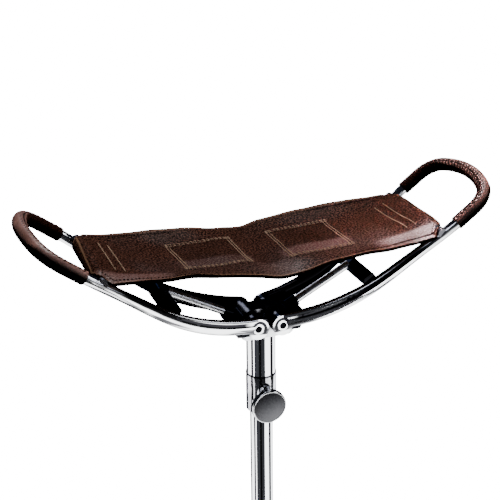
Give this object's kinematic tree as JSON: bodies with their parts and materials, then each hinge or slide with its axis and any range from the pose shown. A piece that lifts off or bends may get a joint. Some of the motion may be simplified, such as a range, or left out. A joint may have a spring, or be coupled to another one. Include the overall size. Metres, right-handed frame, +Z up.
{
  "type": "walking stick seat",
  "caption": "Folding walking stick seat: a leather sling between two hinged cast wing frames with leather-covered handle loops, on a height-adjustable stick with a rubber foot.",
  "frame": {"origin": "centre of the rubber foot's bottom face", "axes": "+Z up the stick, +X across the seat to the right-hand handle, -Y to the front, where the clamp knob is"},
  "size_m": [0.3944, 0.108, 0.771],
  "materials": {
    "cast_metal": "polished",
    "tube_metal": "polished",
    "rod_metal": "polished",
    "bush_metal": "polished",
    "steel": "satin",
    "dark_steel": "blackened",
    "knob_metal": "satin dark face with a bright rim",
    "brass": "satin",
    "nylon": "matte",
    "rubber": "matte",
    "leather": "waxed, with a soft sheen",
    "lining": "suede, flesh side"
  },
  "bodies": {
    "lower_shaft": {"lower_tube": "tube_metal", "guide_bush": "nylon", "foot_plug": "nylon", "ferrule_washer": "steel", "rubber_ferrule": "rubber"},
    "upper_shaft": {"hub_casting": "cast_metal", "hub_cross_pin": "steel", "outer_tube": "tube_metal", "clamp_collar": "tube_metal", "collar_bush": "nylon", "left_hinge_pin": "dark_steel", "right_hinge_pin": "dark_steel", "hinge_washers": "nylon", "seat_leather": "leather", "seat_lining": "lining", "lining_patches": "lining"},
    "clamp_slider": {"clamp_pad": "brass"},
    "clamp_knob": {"clamp_screw": "steel", "knob": "knob_metal"},
    "left_wing": {"left_wing_frame": "cast_metal", "left_strut": "rod_metal", "left_seat_bar": "rod_metal", "left_handle_leather": "leather", "left_lug_bushes": "bush_metal"},
    "right_wing": {"right_wing_frame": "cast_metal", "right_strut": "rod_metal", "right_seat_bar": "rod_metal", "right_handle_leather": "leather", "right_lug_bushes": "bush_metal"}
  },
  "joints": [
    {"name": "height_adjust", "type": "slide", "parent": "lower_shaft", "child": "upper_shaft", "axis": [0, 0, 1], "range_m": [0, 0.035]},
    {"name": "left_wing_fold", "type": "hinge", "parent": "upper_shaft", "child": "left_wing", "pos_m": [-0.0107, 0, 0.66], "axis": [0, 1, 0], "range_deg": [0, 61], "deforming": ["seat_leather", "seat_lining", "lining_patches"]},
    {"name": "right_wing_fold", "type": "hinge", "parent": "upper_shaft", "child": "right_wing", "pos_m": [0.0107, 0, 0.66], "axis": [0, -1, 0], "range_deg": [0, 61], "deforming": ["seat_leather", "seat_lining", "lining_patches"]},
    {"name": "clamp_travel", "type": "slide", "parent": "upper_shaft", "child": "clamp_slider", "axis": [0, -1, 0], "range_m": [0, 0.00126]},
    {"name": "knob_turn", "type": "hinge", "parent": "clamp_slider", "child": "clamp_knob", "pos_m": [0, -0.0216, 0.583], "axis": [0, -1, 0], "range_deg": [0, 360]}
  ],
  "couplings": [
    {"joint": "clamp_travel", "follows": "knob_turn", "m_per_rad": 0.000199}
  ]
}
